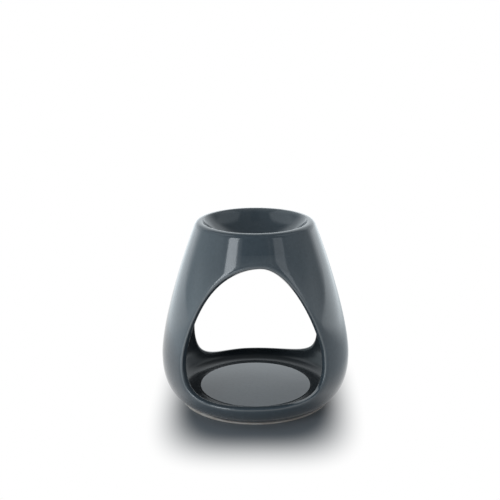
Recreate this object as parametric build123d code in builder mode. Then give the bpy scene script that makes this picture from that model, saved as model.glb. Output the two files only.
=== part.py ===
from build123d import *

import math
import os

os.makedirs("parts", exist_ok=True)

# Glazed stoneware oil burner. Millimetres, +Z up, origin at the middle of the foot on the table.
# The windows face -Y (front) and +Y (back).

# Whole vessel
overall_height = 97.0
wall_thickness = 4.2
lute_gap = 0.1
overrun = 2.0

# Side of the vessel: a full belly low down, drawn in to a foot below and a rim above.
# Each swell or reach is how far the curve keeps on along its end direction.
belly_radius = 50.0
belly_height = 24.5
lower_swell = 13.3
upper_swell = 13.6
neck_share = 0.804
neck_slope = 29.0
neck_reach = 6.5
shoulder_width = 3.6
shoulder_drop = 2.5
shoulder_lean = 21.2
shoulder_reach = 26.6

# Rim, with the step inside it that the dish sits on
rim_radius = 28.1
flange_depth = 7.0
ledge_width = 2.9
ledge_depth = 2.0
gusset_reach = 9.5

# Oil dish
bowl_depth = 14.0
bowl_land = 0.6
bowl_lip_radius = 0.8
dish_thickness = 4.0

# Foot ring and floor
foot_lip = 0.2
foot_height = 1.8
foot_width = 6.0
foot_edge = 0.5
floor_thickness = 2.8
floor_reach_share = 0.58
seam_rise = 1.4

# Candle plate on the floor, as a share of the belly, with a gutter round it that falls away from it
plate_share = 0.6
plate_thickness = 1.8
plate_recess = 0.8
plate_edge = 0.4
gutter_width = 4.0
gutter_fall = 0.5

# Tongues that key the luted joints
tongue_width = 1.6
tongue_height = 1.0

# Windows: rounded triangles cut by hand, lopsided as seen from the front. Widths and offsets are
# measured on a plane that far from the axis, and the cut narrows towards the axis by its taper.
# The back one is cut lower. Each sill is given by its rise over the seam between the wall and the base.
window_head = 16.3
window_left = 36.6
window_right = 34.8
window_plane = 32.0
window_taper_share = 0.45
crown_offset = 2.8
sill_offset = 2.4
front_sill_rise = 5.0
back_sill_rise = 3.0
window_lip_radius = 0.9
lip_limit_share = 0.36
left_widest_share = 0.31
right_widest_share = 0.36
left_crown_share = 0.72
right_crown_share = 0.43
upper_side_share = 0.17
left_lower_share = 1.20
right_lower_share = 0.87
left_sill_share = 0.28
right_sill_share = 0.60
cutter_inner_share = 0.62

# Heights and radii that follow
neck_radius = belly_radius * neck_share
plate_radius = belly_radius * plate_share
shoulder_radius = rim_radius + shoulder_width
shoulder_height = overall_height - shoulder_drop
ledge_height = overall_height - flange_depth
ledge_radius = rim_radius - ledge_width
floor_height = foot_height + floor_thickness
plate_foot = floor_height + gutter_fall
gutter_radius = plate_radius + gutter_width
seam_height = floor_height + seam_rise
foot_radius = neck_radius + foot_lip
foot_middle_radius = foot_radius - foot_width / 2
flange_radius = rim_radius - lute_gap
bowl_radius = rim_radius - bowl_land
bowl_floor = overall_height - bowl_depth
front_sill = seam_height + front_sill_rise
back_sill = seam_height + back_sill_rise
window_height = overall_height - window_head - front_sill
lip_radius = min(window_lip_radius, wall_thickness * lip_limit_share)

# Directions at the ends of the side curves, in the plane of radius and height
neck_out = Vector(math.cos(math.radians(neck_slope)), math.sin(math.radians(neck_slope)))
shoulder_down = Vector(math.sin(math.radians(shoulder_lean)), -math.cos(math.radians(shoulder_lean)))
shoulder_in = Vector(-math.cos(math.radians(shoulder_lean)), -math.sin(math.radians(shoulder_lean)))

neck = Vector(neck_radius, foot_height)
belly = Vector(belly_radius, belly_height)
shoulder = Vector(shoulder_radius, shoulder_height)
inner_belly = Vector(belly_radius - wall_thickness, belly_height)
inner_shoulder = shoulder + shoulder_in * wall_thickness
gutter_edge = Vector(gutter_radius, floor_height)
gusset_foot = shoulder + shoulder_down * gusset_reach + shoulder_in * (wall_thickness / 2)

neck_handle = neck_out * neck_reach
belly_down = Vector(0, -lower_swell)
belly_up = Vector(0, upper_swell)
shoulder_handle = shoulder_down * shoulder_reach
gutter_handle = Vector((inner_belly.X - gutter_radius) * floor_reach_share, 0)


def shell_section():
    # Half section of the wall and the floor, as one thrown form
    with BuildSketch() as section:
        with BuildLine():
            Line((0, foot_height), neck)
            Bezier(neck, neck + neck_handle, belly + belly_down, belly)
            Bezier(belly, belly + belly_up, shoulder + shoulder_handle, shoulder)
            Line(shoulder, inner_shoulder)
            Bezier(inner_shoulder, inner_shoulder + shoulder_handle, inner_belly + belly_up, inner_belly)
            Bezier(inner_belly, inner_belly + belly_down, gutter_edge + gutter_handle, gutter_edge)
            Polyline(gutter_edge, (plate_radius + lute_gap, plate_foot), (0, plate_foot), (0, foot_height))
        make_face()
    return section.sketch


def rim_section():
    # Half section of the rolled rim, the bore that takes the dish and the ledge under it
    with BuildSketch() as section:
        with BuildLine():
            TangentArc(shoulder, (rim_radius, overall_height), tangent=-shoulder_down)
            Polyline(
                (rim_radius, overall_height),
                (rim_radius, ledge_height),
                (ledge_radius, ledge_height),
                (ledge_radius, ledge_height - ledge_depth),
                gusset_foot,
                shoulder,
            )
        make_face()
    return section.sketch


def ring_section(middle_radius, width, low, high):
    # Half section of a plain ring
    with BuildSketch() as section:
        with Locations((middle_radius, (low + high) / 2)):
            Rectangle(width, high - low)
    return section.sketch


def window_outline(distance, sill):
    # Window outline on a plane at this distance from the axis, as seen from the front
    crown = sill + window_height
    spread = 1 + window_taper_share * (distance / window_plane - 1)
    right_side = (window_right, right_widest_share, right_crown_share, right_lower_share, right_sill_share)
    left_side = (-window_left, left_widest_share, left_crown_share, left_lower_share, left_sill_share)
    with BuildSketch() as outline:
        with BuildLine():
            for reach, widest_share, crown_share, lower_share, sill_share in (right_side, left_side):
                widest = sill + window_height * widest_share
                Bezier(
                    (crown_offset * spread, crown),
                    ((crown_offset + reach * crown_share) * spread, crown),
                    (reach * spread, widest + (crown - widest) * upper_side_share),
                    (reach * spread, widest),
                )
                Bezier(
                    (reach * spread, widest),
                    (reach * spread, widest - (widest - sill) * lower_share),
                    ((sill_offset + reach * sill_share) * spread, sill),
                    (sill_offset * spread, sill),
                )
        make_face()
    return outline.sketch


# Wedges that cut the windows
cutter_near = window_plane * cutter_inner_share
cutter_far = belly_radius + overrun

with BuildPart() as front_cutter:
    for distance in (cutter_near, cutter_far):
        with BuildSketch(Plane.XZ.offset(distance)):
            add(window_outline(distance, front_sill))
    loft(ruled=True)

with BuildPart() as back_cutter:
    for distance in (cutter_near, cutter_far):
        with BuildSketch(Plane.XZ.offset(-distance)):
            add(window_outline(distance, back_sill))
    loft(ruled=True)

# Wall: everything above the floor seam, with both windows and their sponged lips
with BuildPart() as wall_shell:
    with BuildSketch(Plane.XZ):
        add(shell_section())
        add(rim_section())
        with Locations((0, ledge_height)):
            Rectangle(rim_radius, flange_depth, align=Align.MIN, mode=Mode.SUBTRACT)
    revolve(axis=Axis.Z)
    split(bisect_by=Plane.XY.offset(seam_height), keep=Keep.TOP)
    seam_face = wall_shell.faces().sort_by(Axis.Z)[0]
    seam_radii = [math.hypot(corner.X, corner.Y) for corner in seam_face.vertices()]
    seam_middle_radius = sum(seam_radii) / len(seam_radii)
    for cutter in (front_cutter, back_cutter):
        add(cutter.part, mode=Mode.SUBTRACT)
        fillet(wall_shell.edges(Select.NEW), radius=lip_radius)
    with BuildSketch(Plane.XZ):
        add(
            ring_section(
                seam_middle_radius,
                tongue_width + 2 * lute_gap,
                seam_height - overrun,
                seam_height + tongue_height + lute_gap,
            )
        )
    revolve(axis=Axis.Z, mode=Mode.SUBTRACT)
wall_shell.part.label = "wall_shell"
export_step(wall_shell.part, "parts/wall_shell.step")

# Base: the floor and the turned-up edge that the wall stands on
with BuildPart() as base_pan:
    with BuildSketch(Plane.XZ):
        add(shell_section())
    revolve(axis=Axis.Z)
    split(bisect_by=Plane.XY.offset(seam_height), keep=Keep.BOTTOM)
    with BuildSketch(Plane.XZ):
        add(ring_section(seam_middle_radius, tongue_width, floor_height, seam_height + tongue_height))
    revolve(axis=Axis.Z)
    with BuildSketch(Plane.XY.offset(floor_height - plate_recess)):
        Circle(plate_radius + lute_gap)
    extrude(amount=plate_recess + overrun, mode=Mode.SUBTRACT)
    with BuildSketch(Plane.XZ):
        add(
            ring_section(
                foot_middle_radius,
                tongue_width + 2 * lute_gap,
                foot_height - overrun,
                foot_height + tongue_height + lute_gap,
            )
        )
    revolve(axis=Axis.Z, mode=Mode.SUBTRACT)
base_pan.part.label = "base_pan"
export_step(base_pan.part, "parts/base_pan.step")

# Oil dish: shallow round bowl with a deep flange that drops into the rim
with BuildPart() as oil_dish:
    with BuildSketch(Plane.XZ):
        with BuildLine():
            TangentArc((0, bowl_floor), (bowl_radius, overall_height), tangent=(1, 0))
            Polyline(
                (bowl_radius, overall_height),
                (flange_radius, overall_height),
                (flange_radius, ledge_height),
                (ledge_radius - lute_gap, ledge_height),
            )
            TangentArc(
                (0, bowl_floor - dish_thickness),
                (ledge_radius - lute_gap, ledge_height),
                tangent=(1, 0),
            )
            Line((0, bowl_floor - dish_thickness), (0, bowl_floor))
        make_face()
    revolve(axis=Axis.Z)
    bowl_edge = oil_dish.edges().group_by(Axis.Z)[-1].sort_by(SortBy.RADIUS)[0]
    fillet(bowl_edge, radius=bowl_lip_radius)
oil_dish.part.label = "oil_dish"
export_step(oil_dish.part, "parts/oil_dish.step")

# Candle plate: flat disc set into the floor
with BuildPart() as candle_plate:
    with BuildSketch(Plane.XY.offset(floor_height - plate_recess)):
        Circle(plate_radius)
    extrude(amount=plate_thickness)
    fillet(candle_plate.edges().group_by(Axis.Z)[-1], radius=plate_edge)
candle_plate.part.label = "candle_plate"
export_step(candle_plate.part, "parts/candle_plate.step")

# Foot ring: bare clay, keyed into the underside of the base
with BuildPart() as foot_ring:
    with BuildSketch(Plane.XZ):
        add(ring_section(foot_middle_radius, foot_width, 0, foot_height))
    revolve(axis=Axis.Z)
    fillet(foot_ring.edges().group_by(Axis.Z)[0], radius=foot_edge)
    with BuildSketch(Plane.XZ):
        add(ring_section(foot_middle_radius, tongue_width, foot_height / 2, foot_height + tongue_height))
    revolve(axis=Axis.Z)
foot_ring.part.label = "foot_ring"
export_step(foot_ring.part, "parts/foot_ring.step")
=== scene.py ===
import math

import bpy
import numpy as np
from mathutils import Matrix, Vector


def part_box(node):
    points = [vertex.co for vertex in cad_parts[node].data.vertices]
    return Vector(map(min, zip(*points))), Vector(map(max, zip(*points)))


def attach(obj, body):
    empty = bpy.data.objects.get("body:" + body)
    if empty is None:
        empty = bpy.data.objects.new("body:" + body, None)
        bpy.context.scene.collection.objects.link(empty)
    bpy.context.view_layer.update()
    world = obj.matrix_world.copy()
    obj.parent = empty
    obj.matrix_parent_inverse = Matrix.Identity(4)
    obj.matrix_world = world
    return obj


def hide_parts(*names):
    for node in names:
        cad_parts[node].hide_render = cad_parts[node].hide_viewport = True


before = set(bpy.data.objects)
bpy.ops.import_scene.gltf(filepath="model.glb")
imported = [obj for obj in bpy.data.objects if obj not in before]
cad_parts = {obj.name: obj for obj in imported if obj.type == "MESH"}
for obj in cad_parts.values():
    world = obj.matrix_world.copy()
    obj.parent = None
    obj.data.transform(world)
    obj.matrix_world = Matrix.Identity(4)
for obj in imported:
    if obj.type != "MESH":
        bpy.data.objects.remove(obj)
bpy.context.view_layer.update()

print("frame loaded:", sorted(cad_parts))

scene = bpy.context.scene
wallLow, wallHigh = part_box("wall_shell")
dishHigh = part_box("oil_dish")[1]
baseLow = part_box("base_pan")[0]
plateLow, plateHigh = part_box("candle_plate")
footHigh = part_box("foot_ring")[1]

# Shared by every round piece
roundShape = {
    "steps": 240,  # round the axis
    "rows": 28,  # along a curve
    "weld": 1e-7,  # nearer points become one
    "slack": 1e-9,
    "least": 1e-12,
}


def unit(vectors):
    size = np.linalg.norm(vectors, axis=-1, keepdims=True)
    return vectors / np.maximum(size, roundShape["least"])


def bezier(start, startHandle, endHandle, end, count):
    t = np.linspace(0, 1, count)[:, None]
    a, b, c, d = (np.array(point, float) for point in (start, startHandle, endHandle, end))
    return a * (1 - t) ** 3 + 3 * b * t * (1 - t) ** 2 + 3 * c * t**2 * (1 - t) + d * t**3


def arc(centre, radius, startAngle, endAngle, count):
    t = np.radians(np.linspace(startAngle, endAngle, count))
    return np.stack([centre[0] + radius * np.cos(t), centre[1] + radius * np.sin(t)], 1)


def line(start, end, count=2):
    t = np.linspace(0, 1, count)[:, None]
    return np.array(start, float) * (1 - t) + np.array(end, float) * t


def joined(*stretches):
    # One path from several, with the shared points kept once
    points = np.concatenate(stretches)
    steps = np.linalg.norm(np.diff(points, axis=0), axis=1)
    return points[np.concatenate([[True], steps > roundShape["slack"]])]


def lengths(points):
    return np.concatenate([[0], np.cumsum(np.linalg.norm(np.diff(points, axis=0), axis=1))])


def spaced(points, count):
    # The same path with evenly spaced points
    along = lengths(points)
    wanted = np.linspace(0, along[-1], count)
    return np.stack([np.interp(wanted, along, points[:, i]) for i in range(points.shape[1])], 1)


def pathFacing(points):
    # Right-hand side of a path in the plane of radius and height
    along = np.gradient(points, lengths(points), axis=0)
    return unit(np.stack([along[:, 1], -along[:, 0]], 1))


roundAngles = np.arange(roundShape["steps"]) * 2 * math.pi / roundShape["steps"]


def turned(points, thinSheen=0.0, pooledShade=0.0):
    # A path turned round the axis; its right-hand side faces out of the clay
    facing = pathFacing(points)
    cos, sin = np.cos(roundAngles), np.sin(roundAngles)

    def spin(flat):
        return np.stack([flat[:, :1] * cos, flat[:, :1] * sin, flat[:, 1:] * np.ones_like(cos)], -1)

    def level(value):
        return np.broadcast_to(np.reshape(value, (-1, 1)), (len(points), len(cos)))

    return {
        "points": spin(points),
        "facing": spin(facing),
        "thinSheen": level(thinSheen),
        "pooledShade": level(pooledShade),
        "wraps": True,
    }


def between(first, second, share):
    # Two turned patches blended by a share for each step round the axis
    mixed = {}
    for key in ("points", "facing", "thinSheen", "pooledShade"):
        part = np.reshape(share, (1, -1, 1)[: first[key].ndim])
        mixed[key] = first[key] * (1 - part) + second[key] * part
    return {**mixed, "facing": unit(mixed["facing"]), "wraps": True}


def makePiece(name, patches, material, node):
    # Welds the patches into one closed mesh that keeps the facing given for each corner
    spots, facing, quads = [], [], []
    start = 0
    for patch in patches:
        rows, columns = patch["points"].shape[:2]
        index = start + np.arange(rows * columns).reshape(rows, columns)
        if patch["wraps"]:
            index = np.concatenate([index, index[:, :1]], 1)
        corners = (index[:-1, :-1], index[:-1, 1:], index[1:, 1:], index[1:, :-1])
        quads.append(np.stack(corners, -1).reshape(-1, 4))
        spots.append(patch["points"].reshape(-1, 3))
        facing.append(patch["facing"].reshape(-1, 3))
        start += rows * columns
    spots, facing, quads = (np.concatenate(part) for part in (spots, facing, quads))
    keys = np.round(spots / roundShape["weld"]).astype(np.int64)
    first, merged = np.unique(keys, axis=0, return_index=True, return_inverse=True)[1:]
    merged = merged.reshape(-1)
    across = spots[quads]
    turn = np.cross(across[:, 2] - across[:, 0], across[:, 3] - across[:, 1])
    backward = np.sum(turn * facing[quads].sum(1), 1) < 0
    quads[backward] = quads[backward][:, ::-1]
    faces, cornerFacing = [], []
    for quad, ids in zip(quads.tolist(), merged[quads].tolist()):
        keep = [i for i in range(4) if ids[i] != ids[i - 1]]
        if len(keep) > 2:
            faces.append([ids[i] for i in keep])
            cornerFacing.extend(facing[quad[i]] for i in keep)
    mesh = bpy.data.meshes.new(name)
    mesh.from_pydata(spots[first].tolist(), [], faces)
    mesh.polygons.foreach_set("use_smooth", [True] * len(faces))
    mesh.normals_split_custom_set(np.array(cornerFacing).tolist())
    for key in ("thinSheen", "pooledShade"):
        amount = np.zeros(len(first))
        np.maximum.at(amount, merged, np.concatenate([patch[key].reshape(-1) for patch in patches]))
        mesh.attributes.new(key, "FLOAT", "POINT").data.foreach_set("value", amount)
    mesh.materials.append(material)
    piece = bpy.data.objects.new(name, mesh)
    scene.collection.objects.link(piece)
    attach(piece, "root")
    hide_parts(node)
    print(name, len(first), "points", len(faces), "faces")
    return piece


class Wire:
    # One shader value; its operators make math nodes
    def __init__(self, graph, socket):
        self.graph = graph
        self.socket = socket

    def maths(self, operation, *others):
        values = dict(enumerate((self, *others)))
        return self.graph.node("ShaderNodeMath", {"operation": operation}, values)

    def __add__(self, other):
        return self.maths("ADD", other)

    def __mul__(self, other):
        return self.maths("MULTIPLY", other)

    def __sub__(self, other):
        return self.maths("SUBTRACT", other)

    def __truediv__(self, other):
        return self.maths("DIVIDE", other)

    def __pow__(self, other):
        return self.maths("POWER", other)

    def __rsub__(self, other):
        return self * -1 + other

    def __rtruediv__(self, other):
        return self**-1 * other

    __radd__ = __add__
    __rmul__ = __mul__

    def ramp(self, low, high):
        # 0 at low, 1 at high, smooth between
        return self.graph.node(
            "ShaderNodeMapRange",
            {"interpolation_type": "SMOOTHSTEP"},
            {"Value": self, "From Min": low, "From Max": high},
        )


class Graph:
    def __init__(self, tree):
        self.tree = tree
        tree.nodes.clear()

    def node(self, kind, settings=None, inputs=None, out=0):
        made = self.tree.nodes.new(kind)
        for key, value in (settings or {}).items():
            setattr(made, key, value)
        for key, value in (inputs or {}).items():
            if isinstance(value, Wire):
                self.tree.links.new(value.socket, made.inputs[key])
            else:
                made.inputs[key].default_value = value
        return Wire(self, made.outputs[out]) if made.outputs else None

    def blend(self, share, first, second):
        values = {0: share, 6: first, 7: second}
        return self.node("ShaderNodeMix", {"data_type": "RGBA"}, values, out=2)

    def scaled(self, colour, factor):
        return self.node("ShaderNodeVectorMath", {"operation": "SCALE"}, {0: colour, "Scale": factor})

    def noise(self, place, marks):
        scale, detail, rough = marks
        values = {"Vector": place, "Scale": scale, "Detail": detail, "Roughness": rough}
        return self.node("ShaderNodeTexNoise", {}, values)


def newMaterial(name):
    material = bpy.data.materials.new(name)
    material.use_nodes = True
    return material, Graph(material.node_tree)


# Slate glaze. A noise is marks per metre, detail and roughness; a spread is where it starts and is full.
glazeLook = {
    "body": (0.079, 0.098, 0.114, 1),
    "cool": (0.072, 0.094, 0.112, 1),
    "cloudNoise": (42.0, 3.0, 0.5),
    "cloudSpread": (0.35, 0.65),
    "pool": (0.040, 0.051, 0.060, 1),
    "mottleNoise": (520.0, 3.0, 0.6),
    "mottleSpread": (0.40, 0.75),
    "mottleShare": 0.20,
    "speck": (0.16, 0.18, 0.19, 1),
    "speckNoise": (900.0, 1.0, 0.5),
    "speckSpread": (0.68, 0.76),
    "speckShare": 0.15,
    "deep": (0.022, 0.028, 0.033, 1),  # inside, where it pooled, and painted shade over the whole interior
    "pooledShadeShare": 0.85,
    "edge": (0.32, 0.335, 0.34, 1),  # where it drew thin, and a painted highlight on lips, rims and the plate edge
    "thinSheenShare": 0.50,
    "rust": (0.19, 0.155, 0.14, 1),  # just over the foot
    "rustHeights": (0.0026, 0.0017),
    "rustMiddle": 0.5,
    "rustRagged": 0.0012,
    "rustShare": 0.9,
    "waveNoise": (95.0, 1.0, 0.5),
    "waveHeight": 0.00010,
    "waveShare": 0.35,
    "pitNoise": (1500.0, 1.0, 0.5),
    "pitSpread": (0.66, 0.80),
    "pitRelief": -0.10,
    "mottleRelief": 0.04,
    "roughness": 0.10,
    "roughMiddle": 0.4,
    "roughSpread": 0.03,
    "roughInside": 0.10,
    "roughRust": 0.2,
    "ior": 1.55,
}


def slateGlaze():
    look = glazeLook
    material, graph = newMaterial("slateGlaze")
    place = graph.node("ShaderNodeTexCoord", {}, {}, out="Object")
    height = graph.node("ShaderNodeSeparateXYZ", {}, {0: place}, out="Z")
    thinSheen = graph.node("ShaderNodeAttribute", {"attribute_name": "thinSheen"}, {}, out="Fac")
    pooledShade = graph.node("ShaderNodeAttribute", {"attribute_name": "pooledShade"}, {}, out="Fac")
    cloud = graph.noise(place, look["cloudNoise"])
    mottle = graph.noise(place, look["mottleNoise"])
    speck = graph.noise(place, look["speckNoise"])
    colour = graph.blend(cloud.ramp(*look["cloudSpread"]), look["body"], look["cool"])
    mottled = mottle.ramp(*look["mottleSpread"]) * look["mottleShare"]
    colour = graph.blend(mottled, colour, look["pool"])
    specked = speck.ramp(*look["speckSpread"]) * look["speckShare"]
    colour = graph.blend(specked, colour, look["speck"])
    # Painted shade: the inside surfaces, and the lips towards the inside, go near black
    colour = graph.blend(pooledShade * look["pooledShadeShare"], colour, look["deep"])
    # Thin glaze and painted highlight: lighter on lip edges, rim and dish crests and the plate edge
    colour = graph.blend(thinSheen * look["thinSheenShare"], colour, look["edge"])
    ragged = (mottle - look["rustMiddle"]) * look["rustRagged"]
    rusty = (height + ragged).ramp(*look["rustHeights"])
    colour = graph.blend(rusty * look["rustShare"], colour, look["rust"])
    wave = graph.noise(place, look["waveNoise"])
    pit = graph.noise(place, look["pitNoise"])
    pitted = pit.ramp(*look["pitSpread"]) * look["pitRelief"]
    relief = wave + pitted + mottle * look["mottleRelief"]
    bump = graph.node(
        "ShaderNodeBump",
        {},
        {"Strength": look["waveShare"], "Distance": look["waveHeight"], "Height": relief},
    )
    rough = look["roughness"] + (mottle - look["roughMiddle"]) * look["roughSpread"]
    rough = rough + pooledShade * look["roughInside"] + rusty * look["roughRust"]
    shine = graph.node(
        "ShaderNodeBsdfPrincipled",
        {},
        {"Base Color": colour, "Roughness": rough, "IOR": look["ior"], "Normal": bump},
    )
    graph.node("ShaderNodeOutputMaterial", {}, {"Surface": shine})
    return material


# Bare clay of the foot
clayLook = {
    "body": (0.49, 0.455, 0.42, 1),
    "dark": (0.41, 0.365, 0.325, 1),
    "pale": (0.56, 0.54, 0.50, 1),
    "patchNoise": (180.0, 3.0, 0.5),
    "patchSpread": (0.35, 0.70),
    "grainNoise": (1600.0, 3.0, 0.7),
    "grainSpread": (0.55, 0.75),
    "grainShare": 0.6,
    "grainHeight": 0.00015,
    "grainRelief": 0.7,
    "roughness": 0.78,
    "roughSpread": 0.15,
}


def bareClay():
    look = clayLook
    material, graph = newMaterial("bareClay")
    place = graph.node("ShaderNodeTexCoord", {}, {}, out="Object")
    patch = graph.noise(place, look["patchNoise"])
    grain = graph.noise(place, look["grainNoise"])
    colour = graph.blend(patch.ramp(*look["patchSpread"]), look["body"], look["dark"])
    grainy = grain.ramp(*look["grainSpread"]) * look["grainShare"]
    colour = graph.blend(grainy, colour, look["pale"])
    bump = graph.node(
        "ShaderNodeBump",
        {},
        {"Strength": look["grainRelief"], "Distance": look["grainHeight"], "Height": grain},
    )
    rough = look["roughness"] + look["roughSpread"] * grain
    dull = graph.node(
        "ShaderNodeBsdfPrincipled", {}, {"Base Color": colour, "Roughness": rough, "Normal": bump}
    )
    graph.node("ShaderNodeOutputMaterial", {}, {"Surface": dull})
    return material


glaze = slateGlaze()
clay = bareClay()
print("materials made")

# Side of the vessel, in the plane of radius and height
sideShape = {
    "bellyHeight": 0.0245,
    "lowerSwell": 0.0133,
    "upperSwell": 0.0136,
    "neckRadius": 0.0402,
    "neckSlope": 29.0,
    "neckReach": 0.0065,
    "shoulderWidth": 0.0036,
    "shoulderDrop": 0.0025,
    "shoulderLean": 21.2,
    "shoulderReach": 0.0266,
    "wall": 0.0042,
    "gutterWidth": 0.0052,
    "gutterFall": 0.0007,
    "floorHeight": 0.0044,
    "floorReachShare": 0.74,
    "luteGap": 0.0001,
    "samples": 400,
}
bellyRadius = min(wallHigh.x, -wallLow.x)
rimHeight = wallHigh.z
seamHeight = wallLow.z
neckHeight = min(footHigh.z, baseLow.z)
rimRadius = dishHigh.x
boreRadius = rimRadius + sideShape["luteGap"]
gutterRadius = plateHigh.x + sideShape["gutterWidth"]

lean = math.radians(sideShape["shoulderLean"])
slope = math.radians(sideShape["neckSlope"])
shoulderDown = np.array([math.sin(lean), -math.cos(lean)])
shoulderIn = np.array([-math.cos(lean), -math.sin(lean)])
neck = np.array([sideShape["neckRadius"], neckHeight])
belly = np.array([bellyRadius, sideShape["bellyHeight"]])
shoulder = np.array([boreRadius + sideShape["shoulderWidth"], rimHeight - sideShape["shoulderDrop"]])
innerBelly = belly - [sideShape["wall"], 0]
innerShoulder = shoulder + shoulderIn * sideShape["wall"]
gutterEdge = np.array([gutterRadius, sideShape["floorHeight"]])
gutterHandle = np.array([(innerBelly[0] - gutterRadius) * sideShape["floorReachShare"], 0])
bellyDown = np.array([0, -sideShape["lowerSwell"]])
bellyUp = np.array([0, sideShape["upperSwell"]])
neckHandle = np.array([math.cos(slope), math.sin(slope)]) * sideShape["neckReach"]
shoulderHandle = shoulderDown * sideShape["shoulderReach"]

samples = sideShape["samples"]
outerLow = bezier(neck, neck + neckHandle, belly + bellyDown, belly, samples)
outerHigh = bezier(belly, belly + bellyUp, shoulder + shoulderHandle, shoulder, samples)
innerLow = bezier(gutterEdge, gutterEdge + gutterHandle, innerBelly + bellyDown, innerBelly, samples)
innerHigh = bezier(
    innerBelly, innerBelly + bellyUp, innerShoulder + shoulderHandle, innerShoulder, samples
)


def cutAt(points, height):
    # Where a rising path crosses a height
    return np.array([np.interp(height, points[:, 1], points[:, 0]), height])


def above(points, height):
    kept = points[points[:, 1] > height + roundShape["slack"]]
    return np.concatenate([[cutAt(points, height)], kept])


def below(points, height):
    kept = points[points[:, 1] < height - roundShape["slack"]]
    return np.concatenate([kept, [cutAt(points, height)]])


# Wall: rim and lips
wallShape = {
    "outlineRows": 300,
    "lipReach": 0.0028,
    "lipEase": 0.0007,
    "lipTurn": 0.0004,
    "lipDrop": 0.0015,
    "lipIn": 0.0009,
    "sillEase": 1.35,  # how much wider the lip is at the sill
    "sillPower": 1.5,
    "rightEase": 1.8,  # and at the upper right
    "seamMargin": 0.0003,
    "leastFall": 0.01,
    "lipOutRows": 20,
    "lipArcRows": 8,
    "lipFlatRows": 5,
    "sideRows": 64,
    "ringRows": 26,
    "ringCrowding": 1.35,
    "collarHeight": 0.0873,
    "ledgeWidth": 0.0029,
    "ledgeDepth": 0.0020,
    "flangeDepth": 0.0070,
    "rollShare": 0.45,
    "tuckReach": 0.003,
    "thinSheenReach": 0.0008,
    "thinSheenDepth": 0.0006,
    "thinSheenFade": 0.0005,
    "thinSheenTilt": (0.10, 0.40),
    "crownSheen": 0.32,
    "crownSheenReach": 0.0035,
    "rimThinSheen": 0.8,
    "rimThinSheenReach": 0.0010,
    "collarRows": 40,
    "rollRows": 40,
    "boreRows": 6,
    "stepRows": 4,
    "tuckRows": 16,
}

# Windows as seen from the front: x is read on a plane in front of the axis, handles are lengths.
# Each has an edge on the outside and one on the inside of the wall.
windowPlane = 0.032
frontWindow = {
    "outer": {
        "crown": (0.0028, 0.0814), "crownHandles": (0.0262, 0.0142),
        "left": (0.0363, 0.0325), "leftHandles": (0.0080, 0.0260),
        "right": (0.0340, 0.0366), "rightHandles": (0.0080, 0.0212),
        "sill": (0.0024, 0.0117), "sillHandles": (0.0100, 0.0207),
    },
    "inner": {
        "crown": (0.0028, 0.0799), "crownHandles": (0.0201, 0.0150),
        "left": (0.0377, 0.0330), "leftHandles": (0.0175, 0.0260),
        "right": (0.0359, 0.0355), "rightHandles": (0.0080, 0.0251),
        "sill": (0.0035, 0.0127), "sillHandles": (0.0110, 0.0160),
    },
}
backWindow = {
    "outer": {
        "crown": (0.0020, 0.0788), "crownHandles": (0.0180, 0.0150),
        "left": (0.0349, 0.0305), "leftHandles": (0.0175, 0.0255),
        "right": (0.0342, 0.0255), "rightHandles": (0.0170, 0.0165),
        "sill": (-0.0040, 0.0082), "sillHandles": (0.0145, 0.0185),
    },
    "inner": {
        "crown": (0.0020, 0.0773), "crownHandles": (0.0200, 0.0160),
        "left": (0.0373, 0.0305), "leftHandles": (0.0175, 0.0255),
        "right": (0.0355, 0.0240), "rightHandles": (0.0170, 0.0149),
        "sill": (-0.0048, 0.0092), "sillHandles": (0.0149, 0.0175),
    },
}


class Side:
    # The wall between its outer and inner paths: s runs up from the seam, depth 0 is outside, 1 inside
    def __init__(self):
        half = sideShape["samples"]
        lowOut, lowIn = above(outerLow, seamHeight), above(innerLow, seamHeight)
        self.outer = joined(spaced(lowOut, half), spaced(outerHigh, half))
        self.inner = joined(spaced(lowIn, half), spaced(innerHigh, half))
        self.s = lengths(self.outer)
        self.outerFacing = pathFacing(self.outer)
        self.innerFacing = -pathFacing(self.inner)

    def flat(self, table, s):
        return np.stack([np.interp(s, self.s, table[:, i]) for i in range(2)], -1)

    def sAt(self, height, inside):
        return np.interp(height, (self.inner if inside else self.outer)[:, 1], self.s)

    def radius(self, s):
        return np.interp(s, self.s, self.outer[:, 0])

    def spot(self, azimuth, s, depth, front):
        outside, inside = self.flat(self.outer, s), self.flat(self.inner, s)
        flat = outside * (1 - depth)[..., None] + inside * depth[..., None]
        return aimed(flat, azimuth, front)

    def facing(self, azimuth, s, inside, front):
        table = self.innerFacing if inside else self.outerFacing
        return aimed(unit(self.flat(table, s)), azimuth, front)


def aimed(flat, azimuth, front):
    # Radius and height to space; azimuth is measured from the front or the back, positive towards +X
    return np.stack(
        [flat[..., 0] * np.sin(azimuth), front * flat[..., 0] * -np.cos(azimuth), flat[..., 1]], -1
    )


side = Side()
lowS, highS = 0.0, float(side.sAt(wallShape["collarHeight"], False))


def windowOutline(edge):
    # Azimuth and height of one edge of a window, anticlockwise from the sill
    crown, sill, left, right = (np.array(edge[key]) for key in ("crown", "sill", "left", "right"))
    left = left * [-1, 1]
    across, upward = np.array([1, 0]), np.array([0, 1])
    sillLeft, sillRight = (across * length for length in edge["sillHandles"])
    crownLeft, crownRight = (across * length for length in edge["crownHandles"])
    leftUp, leftDown = (upward * length for length in edge["leftHandles"])
    rightUp, rightDown = (upward * length for length in edge["rightHandles"])
    turns = [
        (sill, sill + sillRight, right - rightDown, right),
        (right, right + rightUp, crown + crownRight, crown),
        (crown, crown - crownLeft, left + leftUp, left),
        (left, left - leftDown, sill - sillLeft, sill),
    ]
    whole = joined(*(bezier(*turn, wallShape["outlineRows"]) for turn in turns))
    return np.arctan2(whole[:, 0], windowPlane), whole[:, 1]


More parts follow.
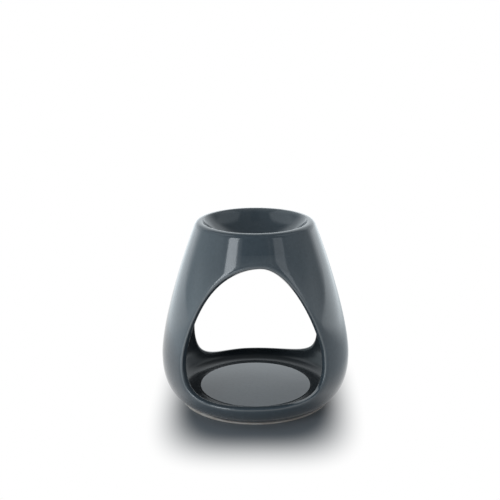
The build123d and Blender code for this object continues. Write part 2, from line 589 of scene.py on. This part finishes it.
def lipSection():
    # Section of the lip from the outside to the inside: reach away from the cut, and depth as a share
    rows, wall = wallShape["lipArcRows"], sideShape["wall"]
    drop, inn = wallShape["lipDrop"], wallShape["lipIn"]
    section = joined(
        bezier(
            (wallShape["lipReach"], 0),
            (wallShape["lipEase"], 0),
            (0, wallShape["lipTurn"]),
            (0, drop),
            wallShape["lipOutRows"],
        ),
        line((0, drop), (0, wall - inn), wallShape["lipFlatRows"]),
        arc((inn, wall - inn), inn, 180, 90, rows),
    )
    return section[:, 0], section[:, 1] / wall


def windowSector(window, front):
    # Half of the wall, round one window
    steps = roundShape["steps"] // 4
    quarter = np.linspace(0, math.pi / 2, steps + 1)
    up = np.linspace(lowS, highS, wallShape["sideRows"] + 1)
    upright = np.full(len(up) - 1, math.pi / 2)
    bottom, top = np.full(steps, lowS), np.full(2 * steps, highS)
    out, back = quarter[:-1], quarter[::-1][:-1]
    edgeA = np.concatenate([out, upright, back, -out, -upright, -back])
    edgeS = np.concatenate([bottom, up[:-1], top, up[::-1][:-1], bottom])
    middle = (window["outer"]["crown"][1] + window["outer"]["sill"][1]) / 2
    middleS = float(side.sAt(middle, False))
    edgeBearing = np.unwrap(np.arctan2(edgeS - middleS, edgeA * bellyRadius))

    def cut(edge, inside):
        # Place and outward direction of one edge, at the bearings of the sector's border
        azimuth, height = windowOutline(edge)
        s = side.sAt(height, inside)
        bearing = np.unwrap(np.arctan2(s - middleS, azimuth * bellyRadius))
        radius = side.radius(s)
        outward = unit(np.stack([np.gradient(s), -radius * np.gradient(azimuth)], 1))
        turns = np.concatenate([bearing[:-1] - 2 * math.pi, bearing, bearing[1:] + 2 * math.pi])
        values = (azimuth, s, outward[:, 0] / radius, outward[:, 1])
        return [np.interp(edgeBearing, turns, np.concatenate([v[:-1], v, v[1:]])) for v in values]

    outside, inside = cut(window["outer"], False), cut(window["inner"], True)
    reach, depth = lipSection()
    reach, depth = reach[:, None], depth[:, None]
    cutA, cutS, awayA, awayS = (a * (1 - depth) + b * depth for a, b in zip(outside, inside))
    # The lip is widest at the sill and the upper right, as far as there is wall left above the seam
    ease = 1 + wallShape["sillEase"] * np.clip(-awayS, 0, 1) ** wallShape["sillPower"]
    upperRight = np.clip(awayS, 0, 1) * np.clip(awayA * bellyRadius, 0, 1)
    ease = ease + wallShape["rightEase"] * upperRight
    room = (outside[1] - wallShape["seamMargin"]) / np.maximum(-awayS, wallShape["leastFall"])
    reach = reach * np.minimum(ease, room / wallShape["lipReach"])
    lipA, lipS = cutA + awayA * reach, cutS + awayS * reach
    depth = np.broadcast_to(depth, lipA.shape)
    lip = side.spot(lipA, lipS, depth, front)
    across = np.gradient(lip, axis=0)
    around = (np.roll(lip, -1, 1) - np.roll(lip, 1, 1)) / 2
    lipFacing = unit(np.cross(around, across) * front)
    lipFacing[0] = side.facing(lipA[0], lipS[0], False, front)
    lipFacing[-1] = side.facing(lipA[-1], lipS[-1], True, front)
    # The glaze draws thin on the outer corner, less so where the lip faces up and it pools; the lighter
    # colour there is partly a painted highlight, and deeper in a painted shade
    deeper = np.maximum(depth * sideShape["wall"] - wallShape["thinSheenDepth"], 0) / wallShape["thinSheenFade"]
    level, steep = wallShape["thinSheenTilt"]
    lipThinSheen = np.exp(-((reach / wallShape["thinSheenReach"]) ** 2) - deeper**2)
    lipThinSheen = lipThinSheen * np.clip((steep - lipFacing[..., 2]) / (steep - level), 0, 1)
    # and above the crown it is lighter, as thin glaze and a painted sheen where the wall curves
    overCrown = np.clip(awayS, 0, 1) ** 2
    lipThinSheen = np.maximum(lipThinSheen, wallShape["crownSheen"] * overCrown * (1 - depth))
    patches = [
        {"points": lip, "facing": lipFacing, "thinSheen": lipThinSheen, "pooledShade": depth**2, "wraps": True}
    ]
    share = np.linspace(0, 1, wallShape["ringRows"])[:, None] ** wallShape["ringCrowding"]
    for row, within in ((0, False), (-1, True)):
        gridA = lipA[row] * (1 - share) + edgeA * share
        gridS = lipS[row] * (1 - share) + edgeS * share
        gone = np.hypot((gridA - lipA[row]) * bellyRadius, gridS - lipS[row])
        over = overCrown[row]
        fade = wallShape["thinSheenReach"] * (1 - over) + wallShape["crownSheenReach"] * over
        patches.append(
            {
                "points": side.spot(gridA, gridS, np.full(gridA.shape, float(within)), front),
                "facing": side.facing(gridA, gridS, within, front),
                "thinSheen": lipThinSheen[row] * np.exp(-gone / fade),
                "pooledShade": np.full(gridA.shape, float(within)),
                "wraps": True,
            }
        )
    return patches


def makeWall():
    ledge = rimHeight - wallShape["flangeDepth"]
    ledgeRadius = rimRadius - wallShape["ledgeWidth"]
    collarOut = side.flat(side.outer, np.linspace(highS, side.s[-1], wallShape["collarRows"]))
    collarIn = side.flat(side.inner, np.array(highS))
    seamIn, seamOut = (side.flat(table, np.array(lowS)) for table in (side.inner, side.outer))
    # Rolled rim: leaves the shoulder along the wall and ends level
    crest = np.array([rimRadius, rimHeight])
    rollHandle = wallShape["rollShare"] * np.linalg.norm(crest - shoulder)
    roll = bezier(
        shoulder,
        shoulder - shoulderDown * rollHandle,
        crest + [rollHandle, 0],
        crest,
        wallShape["rollRows"],
    )
    outside = joined(collarOut, roll)
    fromCrest = lengths(outside)[-1] - lengths(outside)
    tuckTop = np.array([ledgeRadius, ledge - wallShape["ledgeDepth"]])
    tuckReach = wallShape["tuckReach"]
    tuck = bezier(
        tuckTop,
        tuckTop + [tuckReach, 0],
        collarIn - shoulderDown * tuckReach,
        collarIn,
        wallShape["tuckRows"],
    )
    # Thin glaze and a painted highlight along the rim's crest
    thinSheen = wallShape["rimThinSheen"] * np.exp(-((fromCrest / wallShape["rimThinSheenReach"]) ** 2))
    rows = wallShape["stepRows"]
    patches = [
        turned(outside, thinSheen),
        turned(line(crest, (rimRadius, ledge), wallShape["boreRows"])),
        turned(line((rimRadius, ledge), (ledgeRadius, ledge), rows), pooledShade=1.0),
        turned(line((ledgeRadius, ledge), tuckTop, rows), pooledShade=1.0),
        turned(tuck, pooledShade=1.0),
        turned(line(seamIn, seamOut, rows)),
    ]
    patches += windowSector(frontWindow, 1)
    patches += windowSector(backWindow, -1)
    return makePiece("burner_wall", patches, glaze, "wall_shell")


makeWall()

# Oil dish: a round bowl whose rim meets the wall's
dishShape = {
    "depth": 0.014,
    "thickness": 0.004,
    "land": 0.0005,
    "levelShare": 0.2,  # of the land
    "crestRadius": 0.0008,
    "crestHandles": (0.9, 0.8),
    "crestStop": 1.2,
    "crestThinSheen": 0.8,
    "crestThinSheenReach": 0.0016,
    "crestRows": 24,
    "landRows": 3,
    "ledgeRows": 4,
    "flangeRows": 6,
    "rows": 60,
}


def bowlArc(low, reach, high, count):
    # Round bottom that starts level on the axis
    rise = high - low
    radius = (reach**2 + rise**2) / (2 * rise)
    end = math.degrees(math.asin(reach / radius))
    return arc((0, low + radius), radius, -90, -90 + end, count)


def makeDish():
    ledge = rimHeight - wallShape["flangeDepth"]
    ledgeRadius = rimRadius - wallShape["ledgeWidth"]
    bottom = rimHeight - dishShape["depth"]
    samples = sideShape["samples"]
    bowl = bowlArc(bottom, rimRadius - dishShape["land"], rimHeight, samples)
    tip = dishShape["crestRadius"]
    level = np.array([rimRadius - dishShape["land"] * dishShape["levelShare"], rimHeight])
    along = lengths(bowl)
    stop = along[-1] - tip * dishShape["crestStop"]
    end = [np.interp(stop, along, bowl[:, i]) for i in range(2)]
    lowBowl = np.concatenate([bowl[along < stop], [end]])
    heading = unit(lowBowl[-1] - lowBowl[-2])
    levelPull, bowlPull = (tip * share for share in dishShape["crestHandles"])
    crest = bezier(
        level,
        level - [levelPull, 0],
        lowBowl[-1] + heading * bowlPull,
        lowBowl[-1],
        dishShape["crestRows"],
    )
    inside = joined(
        line((rimRadius, rimHeight), level, dishShape["landRows"]),
        crest,
        spaced(lowBowl, dishShape["rows"])[::-1],
    )
    # Thin glaze and a painted highlight along the dish's crest
    thinSheen = dishShape["crestThinSheen"] * np.exp(-((lengths(inside) / dishShape["crestThinSheenReach"]) ** 2))
    under = bowlArc(bottom - dishShape["thickness"], ledgeRadius, ledge, dishShape["rows"])
    patches = [
        turned(under, pooledShade=1.0),
        turned(line((ledgeRadius, ledge), (rimRadius, ledge), dishShape["ledgeRows"])),
        turned(line((rimRadius, ledge), (rimRadius, rimHeight), dishShape["flangeRows"])),
        turned(inside, thinSheen),
    ]
    return makePiece("burner_dish", patches, glaze, "oil_dish")


makeDish()

# Base: floor, gutter and the turned-up edge under the wall
baseShape = {
    "recess": 0.0008,
    "glazeRoll": 0.0005,
    "glazeGap": 0.0001,
    "glazeFalls": (0.0006, 0.0001),
    "glazeShort": (-0.87, -0.50),
    "glazeSpread": (0.78, 0.93),
    "bulgeStart": 3,  # in rolls from the foot
    "bulgePull": 1.5,
    "underRows": 12,
    "dripRows": 3,
    "rollRows": 12,
    "seamRows": 4,
    "gutterRows": 8,
    "recessRows": (3, 6),
}


def makeBase():
    floor = sideShape["floorHeight"]
    plateGap = plateHigh.x + sideShape["luteGap"]
    plateFoot = (plateGap, floor + sideShape["gutterFall"])
    outside = below(outerLow, seamHeight)
    inside = below(innerLow, seamHeight)
    # The glaze hangs a little over the top of the foot
    roll = baseShape["glazeRoll"]
    over = np.array([footHigh.x + baseShape["glazeGap"], neckHeight])
    bulge = outside[outside[:, 0] > over[0] + baseShape["bulgeStart"] * roll]

    def hanging(fall):
        drip = over - [0, fall]
        pull = unit(bulge[1] - bulge[0]) * roll * baseShape["bulgePull"]
        turn = bezier(drip, drip + [roll, 0], bulge[0] - pull, bulge[0], baseShape["rollRows"])
        skirt = joined(turn[:-1], spaced(bulge, roundShape["rows"]))
        return turned(line(over, drip, baseShape["dripRows"])), turned(skirt)

    # and stops higher on one side
    towardX, towardY = baseShape["glazeShort"]
    near = np.cos(roundAngles) * towardX + np.sin(roundAngles) * towardY
    low, high = baseShape["glazeSpread"]
    short = np.clip((near - low) / (high - low), 0, 1)
    short = short**2 * (3 - 2 * short)
    longest, shortest = (hanging(fall) for fall in baseShape["glazeFalls"])
    skirts = [between(*pair, short) for pair in zip(longest, shortest)]
    recess = floor - baseShape["recess"]
    stepRows, recessRows = baseShape["recessRows"]
    patches = [
        turned(line((0, neckHeight), over, baseShape["underRows"])),
        *skirts,
        turned(line(bulge[-1], inside[-1], baseShape["seamRows"])),
        turned(spaced(inside[::-1], roundShape["rows"] * 2), pooledShade=1.0),
        turned(line(gutterEdge, plateFoot, baseShape["gutterRows"]), pooledShade=1.0),
        turned(line(plateFoot, (plateGap, recess), stepRows), pooledShade=1.0),
        turned(line((plateGap, recess), (0, recess), recessRows)),
    ]
    return makePiece("burner_base", patches, glaze, "base_pan")


makeBase()

# Candle plate: a disc whose top falls away a little towards a soft edge
plateShape = {
    "edge": 0.0003,
    "lift": 0.0003,
    "fall": 0.0005,
    "fallReach": 0.028,
    "edgeThinSheen": 0.25,
    "edgeThinSheenReach": 0.0016,
    "topRows": 60,
    "edgeRows": 12,
    "underRows": 6,
    "sideRows": 5,
}


def makePlate():
    low, reach, edge = plateLow.z, plateHigh.x, plateShape["edge"]
    high = plateHigh.z + plateShape["lift"] - plateShape["fall"]
    across = np.linspace(reach - edge, 0, plateShape["topRows"])
    rise = 1 - np.maximum(1 - (reach - edge - across) / plateShape["fallReach"], 0) ** 2
    top = joined(
        arc((reach - edge, high - edge), edge, 0, 90, plateShape["edgeRows"]),
        np.stack([across, high + plateShape["fall"] * rise], 1),
    )
    # Thin glaze and a painted highlight on the plate's edge
    thinSheen = plateShape["edgeThinSheen"] * np.exp(-((lengths(top) / plateShape["edgeThinSheenReach"]) ** 2))
    patches = [
        turned(line((0, low), (reach, low), plateShape["underRows"])),
        turned(line((reach, low), (reach, high - edge), plateShape["sideRows"])),
        turned(top, thinSheen),
    ]
    return makePiece("burner_plate", patches, glaze, "candle_plate")


makePlate()

# Foot ring: bare clay, sponged at both edges
footShape = {
    "width": 0.006,
    "edge": 0.0005,
    "topEdge": 0.0003,
    "edgeRows": 8,
    "sideRows": 6,
    "topRows": 5,
}


def makeFoot():
    high, reach = neckHeight, footHigh.x
    inner, edge, topEdge = reach - footShape["width"], footShape["edge"], footShape["topEdge"]
    edgeRows, sideRows = footShape["edgeRows"], footShape["sideRows"]
    outside = joined(
        line((inner + edge, 0), (reach - edge, 0), edgeRows),
        arc((reach - edge, edge), edge, -90, 0, edgeRows),
        line((reach, edge), (reach, high - topEdge), sideRows),
        arc((reach - topEdge, high - topEdge), topEdge, 0, 90, sideRows),
    )
    inside = joined(
        line((inner, high), (inner, edge), sideRows),
        arc((inner + edge, edge), edge, 180, 270, edgeRows),
    )
    patches = [
        turned(outside),
        turned(line((reach - topEdge, high), (inner, high), footShape["topRows"])),
        turned(inside),
    ]
    return makePiece("burner_foot", patches, clay, "foot_ring")


makeFoot()

# Stage: white floor that keeps the shadow close to the foot; its paper is also painted darker there, a
# painted shadow.
# The pools are painted pools of light and shade that only the glaze mirrors, with where each fades in across
# and along the floor.
floorLook = {
    "rings": (0.0, 0.06, 0.15, 0.4, 1.0, 2.0, 4.0),
    "steps": 64,
    "paper": (0.38, 0.39, 0.40, 1),
    "paintedShadow": (0.18, 0.196, 0.215, 1),
    "grainNoise": (900.0, 2.0, 0.5),
    "grainShare": 0.02,
    "roughness": 0.6,
    "roughSpread": 0.1,
    "shadeMiddle": (0.0006, 0.013),
    "shadeSquash": 1.845,
    "shadePower": 4.0,
    "shadeFade": (0.106, 0.0618),
    "shadeBack": (0.055, 0.020),
    "mirrorShade": 0.88,
    "white": (1.0, 1.0, 1.0, 1),
    "leftLightPool": (1.26, 1.40, 1.48, 1),
    "leftAcross": (-0.10, -0.30),
    "rightShade": (0.64, 0.70, 0.74, 1),
    "rightAcross": (0.04, 0.10),
    "frontLightPool": (2.0, 2.2, 2.3, 1),
    "frontAcross": (-0.04, -0.12),
    "frontEnd": (-0.45, -0.30),
    "frontAlong": (-0.06, -0.14),
    "backLightPools": (1.62, 1.75, 1.82, 1),
    "backAcross": (0.06, 0.20),
    "backAlong": (0.06, 0.18),
}


def makeFloor():
    material, graph = newMaterial("studioPaper")
    place = graph.node("ShaderNodeTexCoord", {}, {}, out="Object")
    across, along = (graph.node("ShaderNodeSeparateXYZ", {}, {0: place}, out=axis) for axis in "XY")
    look = floorLook
    power, middle = look["shadePower"], look["shadeMiddle"]
    wide = ((across - middle[0]) * look["shadeSquash"]).maths("ABSOLUTE") ** power
    deep = (along - middle[1]).maths("ABSOLUTE") ** power
    shade = ((wide + deep) ** (1 / power)).ramp(*look["shadeFade"])
    shade = shade * along.ramp(*look["shadeBack"])
    grain = graph.noise(place, look["grainNoise"])
    # Painted shadow: the paper's colour turns darker towards the foot
    tone = graph.blend(shade + grain * look["grainShare"], look["paper"], look["paintedShadow"])
    rough = look["roughness"] + look["roughSpread"] * grain
    paper = graph.node("ShaderNodeBsdfPrincipled", {}, {"Base Color": tone, "Roughness": rough})
    seen = graph.node("ShaderNodeLightPath", {}, {}, out="Is Camera Ray")
    mirrored = graph.node("ShaderNodeLightPath", {}, {}, out="Is Glossy Ray")
    # Painted light for the glaze's reflections: pools of light and shade in the floor's glow, seen only by
    # glossy rays
    lit = graph.blend(across.ramp(*look["leftAcross"]), look["white"], look["leftLightPool"])
    lit = graph.blend(across.ramp(*look["rightAcross"]), lit, look["rightShade"])
    nearStrip = across.ramp(*look["frontAcross"]) * across.ramp(*look["frontEnd"])
    nearStrip = nearStrip * along.ramp(*look["frontAlong"])
    lit = graph.blend(nearStrip, lit, look["frontLightPool"])
    atBack = across.maths("ABSOLUTE").ramp(*look["backAcross"]) * along.ramp(*look["backAlong"])
    lit = graph.blend(atBack, lit, look["backLightPools"])
    lit = graph.blend(mirrored, look["white"], lit)
    white = graph.node("ShaderNodeEmission", {}, {"Color": lit, "Strength": 1.0})
    # Glossy rays see less of the shade, a painted lighter floor in the reflections
    share = (1 - shade) * seen + (1 - shade * look["mirrorShade"]) * mirrored
    mixed = graph.node("ShaderNodeMixShader", {}, {0: share, 1: paper, 2: white})
    graph.node("ShaderNodeOutputMaterial", {}, {"Surface": mixed})
    steps = look["steps"]
    spots, faces = [], []
    for ring in look["rings"]:
        for i in range(steps):
            turn = 2 * math.pi * i / steps
            spots.append((ring * math.cos(turn), ring * math.sin(turn), 0.0))
    for row in range(len(look["rings"]) - 1):
        for i in range(steps):
            near, far, after = row * steps, (row + 1) * steps, (i + 1) % steps
            corners = [near + i, far + i, far + after, near + after]
            faces.append(corners if row else [0, far + i, far + after])
    mesh = bpy.data.meshes.new("studio_floor")
    mesh.from_pydata(spots, [], faces)
    mesh.materials.append(material)
    floor = bpy.data.objects.new("studio_floor", mesh)
    scene.collection.objects.link(floor)


makeFloor()

# Surroundings: white behind, a pale panel to each side, dim above and on the camera's side. Each fade is
# between two values of one part of the direction looked in.
roomLook = {
    "front": (0.06, 0.065, 0.07, 1),
    "left": (0.78, 0.89, 0.94, 1),
    "leftFade": (-0.58, -0.90),
    "right": (0.50, 0.55, 0.58, 1),
    "rightFade": (0.6, 0.9),
    "lowFade": (0.26, 0.0),
    "sideGlow": 1.0,
    "sideFade": (0.40, -0.10),
    "back": (0.94, 1.00, 1.04, 1),
    "backFade": (0.38, 0.68),
    "backGlow": 0.5,
    "backRise": 0.35,
    "riseFade": (0.42, 0.30),
    "top": (0.145, 0.155, 0.16, 1),
    "topFade": (0.50, 0.92),
    "slot": (0.03, 0.035, 0.04, 1),
    "slotFades": {"across": (0.13, 0.09), "along": (-0.04, -0.08), "up": (0.70, 0.85)},
    "overLeft": {"tone": (0.80, 0.86, 0.90, 1), "inner": (-0.38, -0.46), "outer": (-1.4, -1.0)},
    "overRight": {"tone": (0.60, 0.65, 0.68, 1), "inner": (0.40, 0.48), "outer": (1.4, 1.0)},
    "overFades": {"near": (-0.36, -0.28), "far": (-0.55, -0.85), "up": (0.40, 0.52)},
    "overSlant": 1.6,
    "white": (1.0, 1.0, 1.0, 1),
}


def makeRoom():
    world = bpy.data.worlds.new("studio")
    world.use_nodes = True
    scene.world = world
    graph = Graph(world.node_tree)
    toward = graph.node("ShaderNodeTexCoord", {}, {}, out="Generated")
    x, y, z = (graph.node("ShaderNodeSeparateXYZ", {}, {0: toward}, out=axis) for axis in "XYZ")
    look = roomLook
    low, rise = z.ramp(*look["lowFade"]), z.ramp(*look["riseFade"])
    sides = graph.blend(x.ramp(*look["leftFade"]), look["front"], look["left"])
    sides = graph.blend(x.ramp(*look["rightFade"]), sides, look["right"])
    sides = graph.scaled(sides, 1 + low * y.ramp(*look["sideFade"]) * look["sideGlow"])
    glow = 1 + low * look["backGlow"] + rise * look["backRise"]
    behind = graph.scaled(look["back"][:3], glow)
    colour = graph.blend(y.ramp(*look["backFade"]), sides, behind)
    colour = graph.blend(z.ramp(*look["topFade"]), colour, look["top"])
    fades = look["slotFades"]
    gap = x.maths("ABSOLUTE").ramp(*fades["across"]) * y.ramp(*fades["along"]) * z.ramp(*fades["up"])
    colour = graph.blend(gap, colour, look["slot"])
    across, along = x / z, y / z
    fades = look["overFades"]
    slanted = along - across.maths("ABSOLUTE") * look["overSlant"]
    ends = along.ramp(*fades["near"]) * slanted.ramp(*fades["far"])
    for panel in (look["overLeft"], look["overRight"]):
        share = across.ramp(*panel["inner"]) * across.ramp(*panel["outer"])
        colour = graph.blend(share * ends * z.ramp(*fades["up"]), colour, panel["tone"])
    seen = graph.node("ShaderNodeLightPath", {}, {}, out="Is Camera Ray")
    colour = graph.blend(seen, colour, look["white"])
    back = graph.node("ShaderNodeBackground", {}, {"Color": colour, "Strength": 1.0})
    graph.node("ShaderNodeOutputWorld", {}, {"Surface": back})


makeRoom()

# Strip lamps, all as far from the middle: azimuth from the camera's side (positive to the right), elevation,
# size and watts per square metre
lampLook = {"distance": 0.8, "tint": (0.90, 0.955, 1.0)}
lampPlan = {
    "stripLeft": {"azimuth": -39.5, "elevation": 26.0, "size": (0.225, 0.38), "glow": 15.6},
    "stripLeftLow": {"azimuth": -39.5, "elevation": 5.8, "size": (0.225, 0.20), "glow": 18.0},
    "spillLeft": {"azimuth": -27.5, "elevation": 24.0, "size": (0.10, 0.32), "glow": 1.5},
    "stripRight": {"azimuth": 43.5, "elevation": 26.0, "size": (0.225, 0.38), "glow": 3.1},
    "stripRightLow": {"azimuth": 43.5, "elevation": 5.8, "size": (0.225, 0.20), "glow": 5.0},
    "spillRight": {"azimuth": 26.0, "elevation": 24.0, "size": (0.03, 0.32), "glow": 1.0},
}


def makeLamps():
    for name, plan in lampPlan.items():
        turn, rise = math.radians(plan["azimuth"]), math.radians(plan["elevation"])
        level = math.cos(rise)
        away = Vector((math.sin(turn) * level, -math.cos(turn) * level, math.sin(rise)))
        data = bpy.data.lights.new(name, "AREA")
        data.shape = "RECTANGLE"
        data.size, data.size_y = plan["size"]
        data.energy = plan["glow"] * plan["size"][0] * plan["size"][1]
        data.color = lampLook["tint"]
        lamp = bpy.data.objects.new(name, data)
        lamp.location = away * lampLook["distance"] + Vector((0, 0, rimHeight / 2))
        lamp.rotation_euler = (-away).to_track_quat("-Z", "Y").to_euler()
        scene.collection.objects.link(lamp)


makeLamps()

# Camera: distances in metres, angles in degrees, lens and sensor in mm
cameraView = {
    "distance": 0.49273,
    "height": 0.21793,
    "pitch": 15.548,
    "orbit": 1.06,
    "sidestep": -0.00268,
    "roll": -0.25,
    "lens": 70.23,
    "sensor": 36.0,
    "clip": (0.01, 20.0),
}


def makeCamera():
    data = bpy.data.cameras.new("view")
    data.lens = cameraView["lens"]
    data.sensor_width = cameraView["sensor"]
    data.clip_start, data.clip_end = cameraView["clip"]
    camera = bpy.data.objects.new("view", data)
    stand = Vector((cameraView["sidestep"], -cameraView["distance"], cameraView["height"]))
    tip = Matrix.Rotation(math.radians(90 - cameraView["pitch"]), 4, "X")
    roll = Matrix.Rotation(math.radians(cameraView["roll"]), 4, "Z")
    orbit = Matrix.Rotation(math.radians(cameraView["orbit"]), 4, "Z")
    camera.matrix_world = orbit @ Matrix.Translation(stand) @ tip @ roll
    scene.collection.objects.link(camera)
    scene.camera = camera


makeCamera()
scene.view_settings.view_transform = "Standard"
print("stage set")
